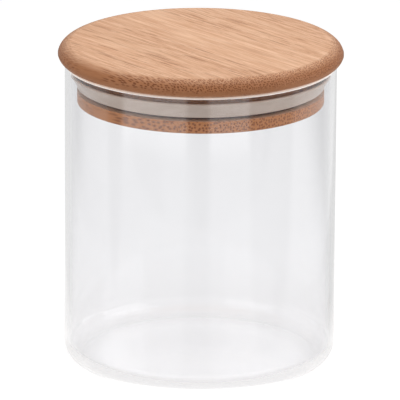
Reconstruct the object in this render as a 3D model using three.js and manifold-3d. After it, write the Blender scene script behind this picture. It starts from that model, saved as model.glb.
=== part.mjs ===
// A straight glass storage canister with a push-in bamboo lid.
// Millimetres, +Z up. The origin is the middle of the jar's foot, where it stands.
// The lid is a three-ply board of glued bamboo strips, turned to a flange with a plug below it.
// A silicone ring sits in a groove round the plug and seals against the glass.

import * as THREE from "three";
import { mergeVertices } from "three/addons/utils/BufferGeometryUtils.js";
import Module from "manifold-3d";

const wasm = await Module();
wasm.setup();

// Jar
const jarRadius = 50;
const jarHeight = 113.5;
const glassWall = 2;
const glassBase = 2.6;
const footRound = 8; // outer radius between the wall and the foot
const floorRound = 6; // inner radius between the wall and the floor
const standingRing = 11; // width of the flat ring that the jar stands on
const pushUp = 1; // height of the raised middle of the base

// Lid flange, which is the face ply
const flangeOverhang = 2.5; // past the glass
const flangeThickness = 6.5;
const topRoundWidth = 5; // soft upper edge, a little wider than it is high
const topRoundHeight = 4.2;
const lowerEdgeRound = 2.1;

// Lid plug, which is the core ply above the base ply
const plugDepth = 15.1; // below the flange
const plugClearance = 2.6; // from the plug to the inside of the glass
const plugEdgeRound = 0.9;

// Groove round the plug, and the silicone ring in it
const grooveBelowFlange = 4.1;
const grooveHeight = 6.3;
const grooveDepth = 3;
const ringBand = 1.2; // thickness of the band that lies in the groove
const skirtRise = 1; // from the band's lower edge up to the skirt's
const skirtFoot = 0.2; // how far the skirt's lower edge stands out of the plug
const skirtFootRound = 0.8;
const lipRise = 0.9; // from the groove's upper edge up to the skirt's, which seals
const skirtLipRound = 0.5;

// Bamboo strips
const faceStrips = 6;
const plugStrips = 5;
const trimmedStrips = 0.74; // share of the face ply's strips that is turned away at its edges
const faceShift = -0.3; // how far each ply's middle lies off the axis, in strip widths
const coreShift = 0;
const baseShift = -0.25;

// Clearances
const seatGap = 0.3; // between the ring and what it sits in or seals against
const rimGap = 0.6; // between the flange and the rim, because the ring's grip carries the lid
const segments = 72; // round every turned shape
const arcSteps = 5; // in each quarter of a rounded edge
const domeSteps = 3; // across the raised middle of the base

// Derived sizes
const jarInside = jarRadius - glassWall;
const flangeRadius = jarRadius + flangeOverhang;
const flangeBottom = jarHeight + rimGap;
const lidTop = flangeBottom + flangeThickness;
const plugRadius = jarInside - plugClearance;
const plugBottom = flangeBottom - plugDepth;
const plyJoint = (flangeBottom + plugBottom) / 2;
const grooveRadius = plugRadius - grooveDepth;
const grooveTop = flangeBottom - grooveBelowFlange;
const grooveBottom = grooveTop - grooveHeight;
const stripWidth = (2 * flangeRadius) / (faceStrips - trimmedStrips);

// Materials
const glass = new THREE.MeshStandardMaterial({
  color: 0xeef1f1,
  roughness: 0.03,
  metalness: 0,
  transparent: true,
  opacity: 0.3,
});
const silicone = new THREE.MeshStandardMaterial({ color: 0xcfcac6, roughness: 0.5, metalness: 0 });
const bamboo = new THREE.MeshStandardMaterial({ color: 0xd8a57f, roughness: 0.55, metalness: 0 });

// Points of a quarter of an ellipse, from one angle to another in degrees, counted anticlockwise.
function quarter(centreX, centreY, radiusX, radiusY, from, to) {
  return Array.from({ length: arcSteps + 1 }, (_, i) => {
    const angle = THREE.MathUtils.degToRad(from + ((to - from) * i) / arcSteps);
    const x = centreX + radiusX * Math.cos(angle);
    const y = centreY + radiusY * Math.sin(angle);
    return new THREE.Vector2(x, y);
  });
}

const point = (x, y) => new THREE.Vector2(x, y);

// A closed solid from a geometry that holds only positions once its shared vertices are merged.
function solidOf(geometry) {
  geometry.deleteAttribute("normal");
  geometry.deleteAttribute("uv");
  const merged = mergeVertices(geometry);
  const corners = merged.index.array;
  const triVerts = [];
  for (let i = 0; i < corners.length; i += 3) {
    const [a, b, c] = corners.slice(i, i + 3);
    if (a !== b && b !== c && c !== a) triVerts.push(a, b, c);
  }
  const mesh = new wasm.Mesh({
    numProp: 3,
    vertProperties: merged.attributes.position.array,
    triVerts: new Uint32Array(triVerts),
  });
  return new wasm.Manifold(mesh);
}

// A solid turned about the Z axis. The profile runs anticlockwise, as (radius, height).
function turned(profile) {
  return solidOf(new THREE.LatheGeometry(profile, segments).rotateX(Math.PI / 2));
}

// A named mesh of one solid.
function meshOf(name, solid, material) {
  const { vertProperties, triVerts } = solid.getMesh();
  const geometry = new THREE.BufferGeometry();
  geometry.setAttribute("position", new THREE.BufferAttribute(vertProperties, 3));
  geometry.setIndex(new THREE.BufferAttribute(triVerts, 1));
  geometry.computeVertexNormals();
  const mesh = new THREE.Mesh(geometry, material);
  mesh.name = name;
  return mesh;
}

// The raised middle of the base at a given height, from the axis out to the standing ring.
function dome(edgeRadius, height) {
  return Array.from({ length: domeSteps + 1 }, (_, i) => {
    const share = i / domeSteps;
    return point(edgeRadius * share, height + pushUp * (1 - share * share));
  });
}

function makeJar() {
  const ringInside = jarRadius - footRound - standingRing;
  const rimRadius = glassWall / 2;
  const rimMiddle = jarRadius - rimRadius;
  const rimBase = jarHeight - rimRadius;
  const profile = [
    ...dome(ringInside, 0),
    ...quarter(jarRadius - footRound, footRound, footRound, footRound, -90, 0),
    ...quarter(rimMiddle, rimBase, rimRadius, rimRadius, 0, 90),
    ...quarter(rimMiddle, rimBase, rimRadius, rimRadius, 90, 180).slice(1),
    ...quarter(jarInside - floorRound, glassBase + floorRound, floorRound, floorRound, 0, -90),
    ...dome(ringInside, glassBase).reverse(),
  ];
  return meshOf("glass_jar", turned(profile), glass);
}

function makeGasket() {
  const inside = grooveRadius + seatGap;
  const sealing = jarInside - seatGap;
  const low = grooveBottom + seatGap;
  const high = grooveTop - seatGap;
  const lipTop = grooveTop + lipRise;
  const skirtLow = low + skirtRise;
  const foot = plugRadius + skirtFoot;
  const heel = skirtFootRound;
  const lip = skirtLipRound;
  const profile = [
    point(inside, low),
    point(inside + ringBand, low),
    point(inside + ringBand, skirtLow),
    ...quarter(foot - heel, skirtLow + heel, heel, heel, -90, 0),
    ...quarter(sealing - lip, lipTop - lip, lip, lip, 0, 90),
    point(foot, high),
    point(inside, high),
    point(inside, low),
  ];
  return meshOf("silicone_gasket", turned(profile), silicone);
}

function faceDisc() {
  const roundBase = lidTop - topRoundHeight;
  return turned([
    point(0, flangeBottom),
    ...quarter(
      flangeRadius - lowerEdgeRound,
      flangeBottom + lowerEdgeRound,
      lowerEdgeRound,
      lowerEdgeRound,
      -90,
      0,
    ),
    ...quarter(flangeRadius - topRoundWidth, roundBase, topRoundWidth, topRoundHeight, 0, 90),
    point(0, lidTop),
  ]);
}

function coreDisc() {
  return turned([
    point(0, plyJoint),
    point(grooveRadius, plyJoint),
    point(grooveRadius, grooveTop),
    point(plugRadius, grooveTop),
    point(plugRadius, flangeBottom),
    point(0, flangeBottom),
  ]);
}

function baseDisc() {
  const edge = plugEdgeRound;
  return turned([
    point(0, plugBottom),
    ...quarter(plugRadius - edge, plugBottom + edge, edge, edge, -90, 0),
    point(plugRadius, grooveBottom),
    point(grooveRadius, grooveBottom),
    point(grooveRadius, plyJoint),
    point(0, plyJoint),
  ]);
}

// Cuts a turned disc into strips side by side. The strips run along X, or along Y if they lie across.
// Neighbours share the same saw cut, so their faces meet exactly.
function layStrips(name, disc, count, shift, across) {
  const reach = 2 * flangeRadius + stripWidth;
  return Array.from({ length: count }, (_, i) => {
    const first = i === 0;
    const last = i === count - 1;
    const low = first ? -reach : (shift + i - count / 2) * stripWidth;
    const high = last ? reach : (shift + i + 1 - count / 2) * stripWidth;
    const sawn = new THREE.BoxGeometry(2 * reach, 1, 4 * lidTop);
    const corners = sawn.attributes.position;
    for (let c = 0; c < corners.count; c++) corners.setY(c, corners.getY(c) < 0 ? low : high);
    if (across) sawn.rotateZ(Math.PI / 2);
    return meshOf(name + "_strip_" + (i + 1), disc.intersect(solidOf(sawn)), bamboo);
  });
}

const lid = new THREE.Group();
lid.add(...layStrips("face", faceDisc(), faceStrips, faceShift, false));
lid.add(...layStrips("core", coreDisc(), plugStrips, coreShift, true));
lid.add(...layStrips("base", baseDisc(), plugStrips, baseShift, false));

const canister = new THREE.Group();
canister.add(makeJar(), makeGasket(), lid);

export default canister;
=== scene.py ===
import math

import bmesh
import bpy
from mathutils import Matrix, Vector


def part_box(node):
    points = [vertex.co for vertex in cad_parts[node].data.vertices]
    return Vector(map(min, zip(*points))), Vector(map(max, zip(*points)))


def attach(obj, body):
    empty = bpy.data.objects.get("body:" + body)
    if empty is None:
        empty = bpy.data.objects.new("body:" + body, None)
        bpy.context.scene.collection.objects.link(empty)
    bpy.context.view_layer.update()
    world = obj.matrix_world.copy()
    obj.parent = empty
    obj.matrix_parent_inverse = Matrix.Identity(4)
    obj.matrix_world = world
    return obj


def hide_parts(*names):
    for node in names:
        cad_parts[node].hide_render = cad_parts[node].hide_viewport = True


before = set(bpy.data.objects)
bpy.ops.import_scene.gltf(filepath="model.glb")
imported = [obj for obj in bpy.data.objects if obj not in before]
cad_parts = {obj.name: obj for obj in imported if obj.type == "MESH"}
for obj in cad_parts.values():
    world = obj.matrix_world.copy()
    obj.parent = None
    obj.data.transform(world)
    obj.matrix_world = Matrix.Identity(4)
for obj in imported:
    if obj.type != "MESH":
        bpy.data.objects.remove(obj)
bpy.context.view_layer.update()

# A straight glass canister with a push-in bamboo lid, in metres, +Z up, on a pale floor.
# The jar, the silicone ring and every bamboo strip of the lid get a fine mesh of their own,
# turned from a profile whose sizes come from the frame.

MM = 0.001

# ---------------------------------------------------------------------------
# Sizes. What the frame gives is read from it. The rest are the CAD's own values, and finish detail:
# the rim, the roundings of the foot and of the lid's lower edge, and the ring's tab and hollow.
# ---------------------------------------------------------------------------

STRIPS = {
    ply: [name for name in sorted(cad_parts) if name.startswith(ply + "_strip_")]
    for ply in ("face", "core", "base")
}


def extent(node):
    """Lowest and highest corner of one node or of several together."""
    names = [node] if isinstance(node, str) else node
    boxes = [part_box(name) for name in names]
    low = Vector([min(box[0][axis] for box in boxes) for axis in range(3)])
    high = Vector([max(box[1][axis] for box in boxes) for axis in range(3)])
    return low, high


_, jar_high = extent("glass_jar")
ring_low, ring_high = extent("silicone_gasket")
face_low, face_high = extent(STRIPS["face"])
core_low, core_high = extent(STRIPS["core"])
base_low, base_high = extent(STRIPS["base"])

JAR_RADIUS = jar_high.x
JAR_HEIGHT = jar_high.z
RING_RADIUS = ring_high.x
LID_RADIUS = face_high.x
PLUG_RADIUS = base_high.x
SEAT_GAP = 0.3 * MM

GLASS_WALL = JAR_RADIUS - RING_RADIUS - SEAT_GAP
GLASS_BASE = 2.6 * MM
FOOT_ROUND = 7 * MM
FLOOR_ROUND = 6 * MM
STANDING_RING = 11 * MM
PUSH_UP = 1 * MM
RIM_ROUND = 0.5 * MM

TOP_ROUND_WIDTH = 5 * MM
TOP_ROUND_HEIGHT = 4.2 * MM
LOWER_EDGE_ROUND = 2.9 * MM
PLUG_EDGE_ROUND = 0.9 * MM
GROOVE_DEPTH = 3 * MM
LIP_RISE = 0.9 * MM  # from the groove up to the top of the ring, whose lip stands above it
GROOVE_TOP = ring_high.z - LIP_RISE
GROOVE_BOTTOM = ring_low.z - SEAT_GAP
GROOVE_RADIUS = PLUG_RADIUS - GROOVE_DEPTH

RING_BAND = 1.2 * MM  # thickness of the band in the groove
RING_TAB = 0.5 * MM  # thickness of the band below the skirt
BAND_TOP_ROUND = 0.4 * MM
SKIRT_RISE = 1 * MM  # from the ring's lowest edge up to the skirt's
SKIRT_FOOT = 0.2 * MM  # how far the skirt's lower edge stands out of the plug
SKIRT_HEEL_ROUND = 1.3 * MM
SKIRT_LIP_ROUND = 0.5 * MM
SKIRT_FLARE = 1.15  # above 1, the skirt opens faster towards its lip
SKIRT_ROWS = 10
HOLLOW_RISE = 2.2 * MM  # from the skirt's lower edge up to the bottom of the hollow behind it
HOLLOW_INSET = 0.9 * MM
HOLLOW_ROUND = 0.5 * MM
RING_CORNER = 0.2 * MM

AROUND = 288  # faces round every turned shape
ARC_STEPS = 12  # faces in each quarter of a rounded edge
WIDE_ARC_STEPS = 24  # the same for the jar's foot and floor
SUPPORT = 0.03 * MM  # how near to a rounding a straight run has its first row
ON_AXIS = 1e-7  # a point nearer than this to the axis, in metres, lies on it


# ---------------------------------------------------------------------------
# Meshes
# ---------------------------------------------------------------------------


def quarter(centre_r, centre_z, radius_r, radius_z, start, end, steps=ARC_STEPS):
    """Points of a part of an ellipse in the (radius, height) plane. start and end are in degrees."""
    points = []
    for i in range(steps + 1):
        angle = math.radians(start + (end - start) * i / steps)
        points.append((centre_r + radius_r * math.cos(angle), centre_z + radius_z * math.sin(angle)))
    return points


def run(start, end, rows=4):
    """Points of a straight run without its ends. The outermost two keep a rounding's shading off it."""
    start, end = Vector(start), Vector(end)
    length = (end - start).length
    shares = [SUPPORT / length] + [i / rows for i in range(1, rows)] + [1 - SUPPORT / length]
    return [tuple(start.lerp(end, share)) for share in shares]


def dome(edge_radius, height):
    """The raised middle of the jar's base, from the axis outwards, level at both ends."""
    points = []
    for i in range(WIDE_ARC_STEPS + 1):
        share = i / WIDE_ARC_STEPS
        rise = PUSH_UP * 0.5 * (1 + math.cos(math.pi * share))
        points.append((edge_radius * share, height + rise))
    return points


def turned(profile):
    """A bmesh turned about the Z axis from a closed profile of (radius, height) points, anticlockwise."""
    mesh = bmesh.new()
    rings = []
    for radius, height in profile:
        if radius < ON_AXIS:
            rings.append([mesh.verts.new((0, 0, height))] * AROUND)
            continue
        ring = []
        for i in range(AROUND):
            angle = 2 * math.pi * i / AROUND
            ring.append(mesh.verts.new((radius * math.cos(angle), radius * math.sin(angle), height)))
        rings.append(ring)
    closes_on_axis = profile[0][0] < ON_AXIS and profile[-1][0] < ON_AXIS
    pairs = len(rings) - 1 if closes_on_axis else len(rings)
    for k in range(pairs):
        lower, upper = rings[k], rings[(k + 1) % len(rings)]
        for i in range(AROUND):
            j = (i + 1) % AROUND
            corners = [lower[i], lower[j], upper[j], upper[i]]
            corners = [v for n, v in enumerate(corners) if v not in corners[:n]]
            mesh.faces.new(corners)
    return mesh


def finish_mesh(name, mesh, material, crease=35):
    """Turns a bmesh into an object with smooth faces, and sharp edges above crease degrees."""
    bmesh.ops.recalc_face_normals(mesh, faces=mesh.faces)
    data = bpy.data.meshes.new(name)
    mesh.to_mesh(data)
    mesh.free()
    data.materials.append(material)
    data.shade_smooth()
    data.set_sharp_from_angle(angle=math.radians(crease))
    piece = bpy.data.objects.new(name, data)
    bpy.context.scene.collection.objects.link(piece)
    return piece


def keep_between(mesh, axis, low, high):
    """Saws a closed bmesh with two planes across an axis and closes the cuts."""
    direction = Vector((axis == 0, axis == 1, 0))
    for place, side in ((low, -1), (high, 1)):
        if place is None:
            continue
        cut = bmesh.ops.bisect_plane(
            mesh,
            geom=mesh.verts[:] + mesh.edges[:] + mesh.faces[:],
            dist=1e-8,
            plane_co=direction * place,
            plane_no=direction * side,
            clear_outer=True,
        )
        rim = [item for item in cut["geom_cut"] if isinstance(item, bmesh.types.BMEdge)]
        bmesh.ops.triangle_fill(mesh, edges=rim, use_beauty=True)


# ---------------------------------------------------------------------------
# Node materials
# ---------------------------------------------------------------------------


class Graph:
    """Short names for the nodes of one material."""

    def __init__(self, name):
        self.material = bpy.data.materials.new(name)
        self.material.use_nodes = True
        self.tree = self.material.node_tree
        self.shader = self.tree.nodes["Principled BSDF"]
        self.output = self.tree.nodes["Material Output"]

    def add(self, kind, **settings):
        node = self.tree.nodes.new(kind)
        for key, value in settings.items():
            setattr(node, key, value)
        return node

    def feed(self, socket, value):
        if isinstance(value, bpy.types.NodeSocket):
            self.tree.links.new(value, socket)
        else:
            socket.default_value = value

    def math(self, operation, a, b=0.0, clamp=False):
        node = self.add("ShaderNodeMath", operation=operation, use_clamp=clamp)
        for socket, value in zip(node.inputs, (a, b)):
            self.feed(socket, value)
        return node.outputs[0]

    def position(self):
        """Object coordinates in millimetres."""
        coords = self.add("ShaderNodeTexCoord").outputs["Object"]
        node = self.add("ShaderNodeVectorMath", operation="SCALE")
        self.feed(node.inputs[0], coords)
        node.inputs["Scale"].default_value = 1 / MM
        return node.outputs[0]

    def squeeze(self, vector, scale, shift=(0, 0, 0)):
        """vector times scale plus shift, for each axis."""
        node = self.add("ShaderNodeVectorMath", operation="MULTIPLY_ADD")
        self.feed(node.inputs[0], vector)
        node.inputs[1].default_value = scale
        node.inputs[2].default_value = shift
        return node.outputs[0]

    def split(self, vector):
        node = self.add("ShaderNodeSeparateXYZ")
        self.feed(node.inputs[0], vector)
        return node.outputs

    def join(self, x, y, z):
        node = self.add("ShaderNodeCombineXYZ")
        for socket, value in zip(node.inputs, (x, y, z)):
            self.feed(socket, value)
        return node.outputs[0]

    def noise(self, vector, detail=2.0, roughness=0.5):
        node = self.add("ShaderNodeTexNoise")
        self.feed(node.inputs["Vector"], vector)
        node.inputs["Scale"].default_value = 1.0
        node.inputs["Detail"].default_value = detail
        node.inputs["Roughness"].default_value = roughness
        return node.outputs["Fac"]

    def ramp(self, value, low, high, out_low=0.0, out_high=1.0, kind="SMOOTHSTEP"):
        """out_low where value is low, out_high where it is high, and a soft step between them."""
        node = self.add("ShaderNodeMapRange", interpolation_type=kind)
        self.feed(node.inputs["Value"], value)
        limits = {"From Min": low, "From Max": high, "To Min": out_low, "To Max": out_high}
        for key, number in limits.items():
            self.feed(node.inputs[key], number)
        return node.outputs["Result"]

    def mix(self, share, a, b, blend="MIX"):
        """A mix of two colours."""
        node = self.add("ShaderNodeMix", data_type="RGBA", blend_type=blend)
        self.feed(node.inputs["Factor"], share)
        colours = [socket for socket in node.inputs if socket.type == "RGBA"]
        for socket, value in zip(colours, (a, b)):
            self.feed(socket, value)
        return next(socket for socket in node.outputs if socket.type == "RGBA")

    def blend(self, share, a, b):
        """A mix of two shaders."""
        node = self.add("ShaderNodeMixShader")
        self.feed(node.inputs["Fac"], share)
        self.feed(node.inputs[1], a)
        self.feed(node.inputs[2], b)
        return node.outputs[0]

    def bump(self, height, depth):
        node = self.add("ShaderNodeBump")
        self.feed(node.inputs["Height"], height)
        node.inputs["Distance"].default_value = depth
        node.inputs["Strength"].default_value = 1.0
        return node.outputs[0]


def colour(red, green, blue):
    """A colour written as it looks on a screen, from 0 to 255, in linear light."""
    linear = []
    for value in (red, green, blue):
        share = value / 255
        linear.append(share / 12.92 if share < 0.04045 else ((share + 0.055) / 1.055) ** 2.4)
    return (*linear, 1.0)


MOST_MIRRORINGS = 2.5  # a ray that was mirrored more often than this leaves the glass straight
MOST_BOUNCES = 8.5  # and so does one that met more surfaces than this
# The glass rim's painted glow and highlight: the light it gives by itself, and the height over which it
# sets in
PAINTED_RIM_GLOW = 0.25
PAINTED_RIM_GLOW_SOFTNESS = 0.2 * MM  # height over which the rim's brightness sets in


def glass_material():
    """Clear glass with a faint grey body colour, and a painted glow and highlight on its fire-polished
    rim.

    Lamps shine through it on what is inside. A ray that has been caught between the wall's
    two faces for long leaves it straight, so that it ends outside and not in darkness.
    """
    g = Graph("clear_glass")
    shader = g.shader
    shader.inputs["Base Color"].default_value = (0.925, 0.925, 0.935, 1)
    shader.inputs["Roughness"].default_value = 0.0
    shader.inputs["IOR"].default_value = 1.47
    shader.inputs["Transmission Weight"].default_value = 1.0
    path = g.add("ShaderNodeLightPath")
    straight = g.math("MAXIMUM", path.outputs["Is Shadow Ray"], path.outputs["Is Diffuse Ray"])
    for kind, most in (("Glossy Depth", MOST_MIRRORINGS), ("Ray Depth", MOST_BOUNCES)):
        caught = g.math("GREATER_THAN", path.outputs[kind], most)
        straight = g.math("MAXIMUM", straight, caught)
    clear = g.add("ShaderNodeBsdfTransparent")
    clear.inputs["Color"].default_value = (0.97, 0.97, 0.97, 1)
    # Painted highlight and glow on the rim: a pale rough shader that shines by itself, warm as if lit off
    # the wood above, is mixed into the top of the wall
    bright = g.add("ShaderNodeBsdfPrincipled")
    bright.inputs["Base Color"].default_value = colour(250, 246, 243)
    bright.inputs["Roughness"].default_value = 0.25
    bright.inputs["Emission Color"].default_value = (1, 0.96, 0.92, 1)
    bright.inputs["Emission Strength"].default_value = PAINTED_RIM_GLOW
    rim_low = JAR_HEIGHT - RIM_ROUND
    height = g.split(g.position())[2]
    rim = g.ramp(height, rim_low / MM, (rim_low + PAINTED_RIM_GLOW_SOFTNESS) / MM, 0.0, 0.9)
    body = g.blend(rim, shader.outputs[0], bright.outputs[0])
    g.feed(g.output.inputs["Surface"], g.blend(straight, body, clear.outputs[0]))
    return g.material


def silicone_material():
    """Milky translucent silicone with a soft sheen and a little moulding texture.

    The tab below the skirt is painted dark brown, as painted shade of the groove it lies in, with the
    wood showing through the thin silicone.
    """
    g = Graph("milky_silicone")
    shader = g.shader
    place = g.position()
    cloud = g.noise(g.squeeze(place, (0.12, 0.12, 0.3)), detail=3.0)
    milk = g.mix(g.ramp(cloud, 0.3, 0.7), colour(196, 178, 165), colour(206, 189, 177))
    height = g.split(place)[2]
    skirt_low = (ring_low.z + SKIRT_RISE) / MM
    # Painted shade: the tab below the skirt turns dark brown, where it lies in the groove's shade
    tab = g.ramp(height, skirt_low - 0.2, skirt_low + 0.1, 1.0, 0.0)
    g.feed(shader.inputs["Base Color"], g.mix(tab, milk, colour(84, 52, 32)))
    shader.inputs["IOR"].default_value = 1.41
    shader.inputs["Subsurface Weight"].default_value = 0.35
    shader.inputs["Subsurface Radius"].default_value = (1.0, 0.9, 0.85)
    shader.inputs["Subsurface Scale"].default_value = 1.5 * MM
    grain = g.noise(g.squeeze(place, (6, 6, 6)), detail=2.0)
    g.feed(shader.inputs["Roughness"], g.ramp(grain, 0.3, 0.7, 0.32, 0.44))
    g.feed(shader.inputs["Normal"], g.bump(grain, 0.01 * MM))
    return g.material


# Each strip's own lightness, redness, strength of its dark flecks and spacing of its fibre
# bundles in millimetres. Strips that aren't listed take the last row.
STRIP_LOOKS = {
    "face_strip_1": (1.03, 0.10, 0.8, 0.76),
    "face_strip_2": (1.03, 0.15, 0.9, 0.74),
    "face_strip_3": (1.00, 0.30, 0.8, 0.70),
    "face_strip_4": (1.04, 0.00, 0.35, 0.64),
    "face_strip_5": (1.03, 0.05, 0.8, 0.66),
    "face_strip_6": (1.02, 0.00, 0.8, 0.70),
    "others": (1.00, 0.20, 0.8, 1.00),
}
# Heights in millimetres. The face ply's bundles are too fine to see below the first and all
# show above the second.
FINE_BUNDLES = face_low.z / MM + 1.8
COARSE_BUNDLES = face_low.z / MM + 3.4
# Where the lid's rounded edge is level, and where it would be level again if it went on
TURN_HIGH = face_high.z / MM
TURN_LOW = TURN_HIGH - 2 * TOP_ROUND_HEIGHT / MM


def bamboo_material(name, across):
    """Carbonised bamboo whose fibre bundles run along X, or along Y in a strip that lies across.

    The bundles are long straight cells, so they read as dots on the end grain and as fine
    streaks on the face, wherever the surface cuts them.
    """
    tone, red, flecks, spacing = STRIP_LOOKS.get(name, STRIP_LOOKS["others"])
    seed = 17.3 * (1 + sorted(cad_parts).index(name))
    g = Graph("bamboo_" + name)
    shader = g.shader
    x, y, z = g.split(g.position())
    along, side = (y, x) if across else (x, y)

    # Fibres wander a little from straight
    bend = g.join(g.math("MULTIPLY", along, 0.010), g.math("MULTIPLY", side, 0.04), seed)
    sway = g.noise(bend, detail=1.0)
    side = g.math("ADD", side, g.ramp(sway, 0.0, 1.0, -0.4, 0.4, kind="LINEAR"))
    place = g.join(along, side, z)

    # Long patterns, from the widest to the finest, and the places where the dark fibres gather
    broad = g.noise(g.squeeze(place, (0.012, 0.14, 0.14), (seed, 3, 5)), detail=2.0)
    streak = g.noise(g.squeeze(place, (0.045, 0.9, 0.9), (seed, 11, 7)), detail=3.0, roughness=0.65)
    fibre = g.noise(g.squeeze(place, (0.13, 2.6, 2.6), (seed, 1, 2)), detail=4.0, roughness=0.7)
    cluster = g.noise(g.squeeze(place, (0.016, 0.12, 0.12), (seed, 21, 4)), detail=1.0)

    base = g.mix(g.ramp(streak, 0.34, 0.66), colour(213, 161, 124), colour(240, 195, 160))
    base = g.mix(g.ramp(broad, 0.38, 0.62, 0.0, 0.4), base, colour(216, 168, 132))
    gathered = g.ramp(cluster, 0.38, 0.62, 0.15 * flecks, 0.85 * flecks)
    dark = g.math("MULTIPLY", g.ramp(fibre, 0.48, 0.66), gathered)
    base = g.mix(dark, base, colour(178, 124, 88))
    base = g.mix(g.ramp(fibre, 0.46, 0.3, 0.0, 0.4), base, colour(246, 208, 180))

    # The bundles themselves, as cells across the fibre
    cell = g.add("ShaderNodeTexVoronoi", voronoi_dimensions="2D", feature="F1")
    cell.inputs["Scale"].default_value = 1.0
    cell.inputs["Randomness"].default_value = 0.75
    drop = z
    if name.startswith("face"):  # follows the rounded edge down, so that the dots stay round on it
        turn = g.math("ARCCOSINE", g.ramp(z, TURN_LOW, TURN_HIGH, -1.0, 1.0, kind="LINEAR"))
        drop = g.math("MULTIPLY", turn, 0.5 * (TOP_ROUND_WIDTH + TOP_ROUND_HEIGHT) / MM)
    flat = g.join(side, drop, 0.0)
    spread = g.squeeze(flat, (1 / spacing, 0.8 / spacing, 1), (seed, seed * 0.7, 0))
    g.feed(cell.inputs["Vector"], spread)
    core = g.ramp(cell.outputs["Distance"], 0.17, 0.45, 1.0, 0.0)

    # How much of the surface is end grain, and how far it turns from level
    nx, ny, nz = g.split(g.add("ShaderNodeTexCoord").outputs["Normal"])
    outward = ny if across else nx
    end = g.math("MAXIMUM", g.ramp(outward, 0.01, 0.22), g.ramp(outward, -0.22, -0.01, 0.45, 0.0))
    slope = g.math("SQRT", g.math("SUBTRACT", 1.0, g.math("MULTIPLY", nz, nz), clamp=True))
    painted_turn_shade = g.ramp(slope, 0.0, 0.79, kind="LINEAR")
    if name.startswith("face"):
        end = g.math("MULTIPLY", end, g.ramp(z, FINE_BUNDLES, COARSE_BUNDLES))

    # On the face a bundle shows only for a stretch, as a dark fleck
    reach = g.noise(g.squeeze(place, (0.06, 0.5, 0.5), (seed, 9, 1)), detail=3.0, roughness=0.6)
    on_face = g.math("MULTIPLY", g.ramp(reach, 0.50, 0.66), 0.75 * flecks)
    strength = g.ramp(end, 0.0, 1.0, on_face, 0.85, kind="LINEAR")
    dots = g.math("MULTIPLY", core, strength)

    # Painted shade: the more the surface turns from level, the nearer it goes to a dark oily brown, so
    # the rounded edge and the sides stand darker; in part this is the deeper colour that oil gives end
    # grain
    oil_and_shade_colour = colour(150, 95, 57) if name.startswith("face") else colour(190, 121, 65)
    deep_and_shaded = g.mix(g.math("MULTIPLY", painted_turn_shade, 0.92), base, oil_and_shade_colour)
    body = g.mix(dots, deep_and_shaded, g.mix(1.0, deep_and_shaded, colour(168, 138, 118), "MULTIPLY"))
    tint = (tone, tone * (1 - 0.05 * red), tone * (1 - 0.09 * red), 1)
    g.feed(shader.inputs["Base Color"], g.mix(1.0, body, tint, "MULTIPLY"))

    rough = g.ramp(fibre, 0.3, 0.7, 0.45, 0.6)
    g.feed(shader.inputs["Roughness"], g.math("ADD", rough, g.math("MULTIPLY", dots, 0.12)))
    shader.inputs["Specular IOR Level"].default_value = 0.25
    relief = g.math("SUBTRACT", g.math("MULTIPLY", fibre, -0.5), g.math("MULTIPLY", dots, 0.8))
    g.feed(shader.inputs["Normal"], g.bump(relief, 0.05 * MM))
    return g.material


# ---------------------------------------------------------------------------
# The pieces
# ---------------------------------------------------------------------------


def jar_profile():
    """The raised middle, the standing ring, the wall and its round rim, and the same way back inside."""
    foot, floor, rim = FOOT_ROUND, FLOOR_ROUND, RIM_ROUND
    ring_inside = JAR_RADIUS - foot - STANDING_RING
    inside = JAR_RADIUS - GLASS_WALL
    wall_top = JAR_HEIGHT - rim
    floor_top = GLASS_BASE + floor
    profile = dome(ring_inside, 0)
    profile += run((ring_inside, 0), (JAR_RADIUS - foot, 0), rows=2)
    profile += quarter(JAR_RADIUS - foot, foot, foot, foot, -90, 0, steps=WIDE_ARC_STEPS)
    profile += run((JAR_RADIUS, foot), (JAR_RADIUS, wall_top))
    profile += quarter(JAR_RADIUS - rim, wall_top, rim, rim, 0, 90)
    profile += quarter(inside + rim, wall_top, rim, rim, 90, 180)
    profile += run((inside, wall_top), (inside, floor_top))
    profile += quarter(inside - floor, floor_top, floor, floor, 0, -90, steps=WIDE_ARC_STEPS)
    profile += run((inside - floor, GLASS_BASE), (ring_inside, GLASS_BASE), rows=2)
    profile += dome(ring_inside, GLASS_BASE)[::-1]
    return profile


def make_jar():
    piece = finish_mesh("jar_glass", turned(jar_profile()), glass_material())
    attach(piece, "jar")
    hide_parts("glass_jar")


def gasket_profile():
    """A band in the groove, with a skirt that flares out to the glass and is hollow behind."""
    low, high = ring_low.z, ring_high.z
    inside = GROOVE_RADIUS + SEAT_GAP
    tab = inside + RING_TAB
    band = inside + RING_BAND
    foot = PLUG_RADIUS + SKIRT_FOOT
    skirt_low = low + SKIRT_RISE
    corner, heel, lip = RING_CORNER, SKIRT_HEEL_ROUND, SKIRT_LIP_ROUND

    profile = [(inside, low + corner), (inside + corner, low), (tab - corner, low), (tab, low + corner)]
    profile += [(tab, skirt_low - corner), (tab + corner, skirt_low)]
    profile += quarter(foot - heel, skirt_low + heel, heel, heel, -90, -8, steps=10)
    bottom, top = skirt_low + heel, high - lip
    for i in range(1, SKIRT_ROWS):
        share = i / SKIRT_ROWS
        flare = share ** SKIRT_FLARE
        profile.append((foot + (RING_RADIUS - foot) * flare, bottom + (top - bottom) * share))
    profile += quarter(RING_RADIUS - lip, top, lip, lip, 0, 130, steps=10)

    hollow_low = skirt_low + HOLLOW_RISE + HOLLOW_ROUND
    profile += quarter(foot - HOLLOW_INSET, hollow_low, HOLLOW_ROUND, HOLLOW_ROUND, -10, -170, steps=8)
    band_top = GROOVE_TOP - SEAT_GAP
    rounding = BAND_TOP_ROUND
    profile += quarter(band - rounding, band_top - rounding, rounding, rounding, 0, 90, steps=6)
    profile += [(inside + corner, band_top), (inside, band_top - corner)]
    return profile


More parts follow.
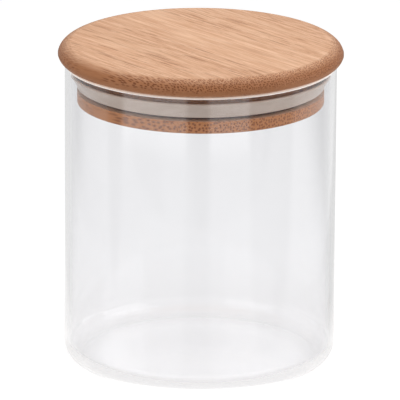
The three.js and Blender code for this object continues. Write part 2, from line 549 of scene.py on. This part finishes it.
def make_gasket():
    piece = finish_mesh("gasket_ring", turned(gasket_profile()), silicone_material(), crease=50)
    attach(piece, "gasket")
    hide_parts("silicone_gasket")


def flat_rows(radius, height, outwards, steps=6):
    """Points across a flat face between the axis and a radius, without either end."""
    shares = [i / steps for i in range(1, steps)]
    if not outwards:
        shares.reverse()
    return [(radius * share, height) for share in shares]


def face_profile():
    """The overhanging top of the lid, with its soft top edge."""
    low, high = face_low.z, face_high.z
    edge = LOWER_EDGE_ROUND
    flat = LID_RADIUS - TOP_ROUND_WIDTH
    profile = [(0, low)] + flat_rows(LID_RADIUS - edge, low, True)
    profile += quarter(LID_RADIUS - edge, low + edge, edge, edge, -90, 0)
    wide, tall = TOP_ROUND_WIDTH, TOP_ROUND_HEIGHT
    profile += quarter(flat, high - tall, wide, tall, 0, 90, steps=20)
    profile += flat_rows(flat, high, False) + [(0, high)]
    return profile


def core_profile():
    """The upper half of the plug, with the upper side of the groove."""
    low, high = core_low.z, core_high.z
    return [
        (0, low),
        (GROOVE_RADIUS, low),
        (GROOVE_RADIUS, GROOVE_TOP),
        (PLUG_RADIUS, GROOVE_TOP),
        (PLUG_RADIUS, high),
        (0, high),
    ]


def base_profile():
    """The lower half of the plug, with the lower side of the groove and the bottom lip."""
    low, high = base_low.z, base_high.z
    edge = PLUG_EDGE_ROUND
    profile = [(0, low)] + flat_rows(PLUG_RADIUS - edge, low, True)
    profile += quarter(PLUG_RADIUS - edge, low + edge, edge, edge, -90, 0, steps=8)
    profile += [(PLUG_RADIUS, GROOVE_BOTTOM), (GROOVE_RADIUS, GROOVE_BOTTOM)]
    profile += [(GROOVE_RADIUS, high), (0, high)]
    return profile


def make_ply(ply, profile, axis):
    """One piece for each strip of a ply. axis is the one that the strips lie side by side along."""
    names = STRIPS[ply]
    for name in names:
        low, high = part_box(name)
        mesh = turned(profile)
        first_cut = None if name == names[0] else low[axis]
        last_cut = None if name == names[-1] else high[axis]
        keep_between(mesh, axis, first_cut, last_cut)
        piece = finish_mesh("bamboo_" + name, mesh, bamboo_material(name, across=axis == 0))
        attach(piece, "lid")
        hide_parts(name)


# ---------------------------------------------------------------------------
# The studio
# ---------------------------------------------------------------------------

VIEW_AZIMUTH = math.radians(50)
VIEW_ELEVATION = math.radians(16.8)
VIEW_ROLL = math.radians(0.35)
VIEW_DISTANCE = 2.81
AIM_HEIGHT = 0.5 * face_high.z
LENS = 685  # focal length in millimetres, on a sensor 36 wide
FLOOR_REACH = 3.0  # metres from the canister to the floor's edges
FLOOR_DROP = 0.1 * MM  # clear of the glass, so that the two faces don't coincide
FLOOR_GLOW = 0.7  # makes the floor white to the camera
FLOOR_BOUNCE = 0.35  # light that the floor gives the pieces besides what it reflects
# The bright panels are painted light on the floor, seen only as a painted reflection in the glass
PAINTED_PANELS = ((-66, -11), (7, 40))  # bearings of the bright panels, in degrees to the right of the camera
PAINTED_PANEL_SOFTNESS = 3  # degrees
WORLD_LIGHT = 0.3
WORLD_IN_GLASS = 0.82


def make_camera():
    """A long lens that looks down a little on the canister's axis."""
    data = bpy.data.cameras.new("camera")
    data.lens = LENS
    data.sensor_width = 36
    data.clip_end = 20
    camera = bpy.data.objects.new("camera", data)
    turn = Matrix.Rotation(VIEW_AZIMUTH, 4, "Z")
    tip = Matrix.Rotation(math.pi / 2 - VIEW_ELEVATION, 4, "X")
    roll = Matrix.Rotation(VIEW_ROLL, 4, "Z")
    back = Vector((0, -math.cos(VIEW_ELEVATION), math.sin(VIEW_ELEVATION))) * VIEW_DISTANCE
    place = Vector((0, 0, AIM_HEIGHT)) + turn.to_3x3() @ back
    camera.matrix_world = Matrix.Translation(place) @ turn @ tip @ roll
    bpy.context.scene.collection.objects.link(camera)
    bpy.context.scene.camera = camera


def make_lamp(name, bearing, distance, height, width, tall, brightness, aim_height=0.06):
    """A square softbox. bearing is in degrees to the right of the camera, seen from the canister."""
    data = bpy.data.lights.new(name, "AREA")
    data.shape = "RECTANGLE"
    data.size = width
    data.size_y = tall
    data.energy = brightness * math.pi * width * tall
    lamp = bpy.data.objects.new(name, data)
    angle = VIEW_AZIMUTH + math.radians(bearing)
    place = Vector((math.sin(angle) * distance, -math.cos(angle) * distance, height))
    aim = Vector((0, 0, aim_height)) - place
    lamp.matrix_world = Matrix.Translation(place) @ aim.to_track_quat("-Z", "Y").to_matrix().to_4x4()
    lamp.visible_camera = False
    bpy.context.scene.collection.objects.link(lamp)


def background_rays(tree):
    """1 for the rays that should meet a white background: camera, glossy and transmission rays."""
    path = tree.nodes.new("ShaderNodeLightPath")
    total = path.outputs["Is Camera Ray"]
    for name in ("Is Glossy Ray", "Is Transmission Ray"):
        node = tree.nodes.new("ShaderNodeMath")
        node.operation = "MAXIMUM"
        tree.links.new(total, node.inputs[0])
        tree.links.new(path.outputs[name], node.inputs[1])
        total = node.outputs[0]
    return total


def make_world():
    """Even light from all round, brighter where it is seen in the glass and white to the camera."""
    world = bpy.data.worlds.new("studio")
    world.use_nodes = True
    tree = world.node_tree
    background = tree.nodes["Background"]
    background.inputs["Strength"].default_value = 1.0
    camera_ray = tree.nodes.new("ShaderNodeLightPath").outputs["Is Camera Ray"]
    seen = None
    for share, light in ((background_rays(tree), WORLD_IN_GLASS), (camera_ray, 1)):
        mix = tree.nodes.new("ShaderNodeMix")
        mix.data_type = "RGBA"
        tree.links.new(share, mix.inputs["Factor"])
        below, above = [socket for socket in mix.inputs if socket.type == "RGBA"]
        above.default_value = (light, light, light, 1)
        if seen is None:
            below.default_value = (WORLD_LIGHT, WORLD_LIGHT, WORLD_LIGHT, 1)
        else:
            tree.links.new(seen, below)
        seen = next(socket for socket in mix.outputs if socket.type == "RGBA")
    tree.links.new(seen, background.inputs["Color"])
    bpy.context.scene.world = world


def make_floor():
    """A white table, with painted light seen only in the glass: a painted reflection of a dim room in
    front with two bright panel shapes, and painted light and shade below the jar.

    Distances are in millimetres from the canister's axis, towards the camera and to its right.
    """
    mesh = bmesh.new()
    bmesh.ops.create_grid(mesh, x_segments=8, y_segments=8, size=FLOOR_REACH)
    g = Graph("pale_floor")
    shader = g.shader
    shader.inputs["Roughness"].default_value = 0.9
    shader.inputs["Specular IOR Level"].default_value = 0.0
    shader.inputs["Base Color"].default_value = (0.45, 0.45, 0.45, 1)
    shader.inputs["Emission Color"].default_value = (1, 1, 1, 1)
    x, y, _ = g.split(g.position())
    sine, cosine = math.sin(VIEW_AZIMUTH), math.cos(VIEW_AZIMUTH)
    front = g.math("SUBTRACT", g.math("MULTIPLY", x, sine), g.math("MULTIPLY", y, cosine))
    right = g.math("ADD", g.math("MULTIPLY", x, cosine), g.math("MULTIPLY", y, sine))
    bearing = g.math("ARCTAN2", right, front)
    painted_panels = 0.0
    for limits in PAINTED_PANELS:
        low, high, soft = [math.radians(degrees) for degrees in (*limits, PAINTED_PANEL_SOFTNESS)]
        rise = g.ramp(bearing, low - soft, low + soft)
        fall = g.ramp(bearing, high - soft, high + soft, 1.0, 0.0)
        painted_panels = g.math("ADD", painted_panels, g.math("MULTIPLY", rise, fall))
    reach = g.math("SQRT", g.math("ADD", g.math("MULTIPLY", x, x), g.math("MULTIPLY", y, y)))
    painted_panel_light = g.math("MULTIPLY", painted_panels, g.ramp(reach, 340, 390, 0.35, 1.25))
    in_front = g.ramp(front, 47, 72)

    # Painted reflection: away from the painted panels it darkens to both sides. Painted light below the
    # jar, with painted shade at the front of the foot and painted light at its back
    far_right = g.math("MAXIMUM", g.ramp(right, 52, 92, 0.64, 0.33), g.ramp(right, 110, 170, 0.0, 0.48))
    painted_dim_sides = g.math("MINIMUM", g.ramp(right, -100, -60, 0.45, 0.64), far_right)
    foot = g.ramp(front, -25, 5, 0.07, -0.07)
    painted_light_below_jar = g.math("MULTIPLY", g.ramp(reach, 34, 47, 0.24, foot), g.ramp(reach, 58, 80, 1.0, 0.0))

    # Only rays that were mirrored see the painted panels: one that goes straight through sees the painted
    # dark sides and the painted light below the jar
    path = g.add("ShaderNodeLightPath")
    mirrored = g.math("MULTIPLY", in_front, g.math("GREATER_THAN", path.outputs["Glossy Depth"], 0.5))
    in_glass = g.math("ADD", painted_light_below_jar, g.ramp(mirrored, 0.0, 1.0, painted_dim_sides, painted_panel_light, kind="LINEAR"))
    glow = g.ramp(path.outputs["Is Camera Ray"], 0.0, 1.0, in_glass, FLOOR_GLOW, kind="LINEAR")
    light = g.ramp(background_rays(g.tree), 0.0, 1.0, FLOOR_BOUNCE, glow, kind="LINEAR")
    g.feed(shader.inputs["Emission Strength"], light)
    floor = finish_mesh("floor", mesh, g.material)
    floor.location.z = -FLOOR_DROP


def make_studio():
    scene = bpy.context.scene
    scene.view_settings.view_transform = "Standard"
    make_world()
    make_floor()
    # name, bearing, distance, height, width, tall, brightness
    make_lamp("top_softbox", 0, 0.15, 1.1, 1.2, 1.2, 1.57, aim_height=0.1)
    make_lamp("left_softbox", -49, 0.6, 0.1, 0.55, 0.7, 1.2)
    make_lamp("right_softbox", 78, 0.6, 0.32, 0.55, 0.7, 1.7)


make_camera()
make_jar()
make_gasket()
make_ply("face", face_profile(), axis=1)
make_ply("core", core_profile(), axis=0)
make_ply("base", base_profile(), axis=1)
make_studio()
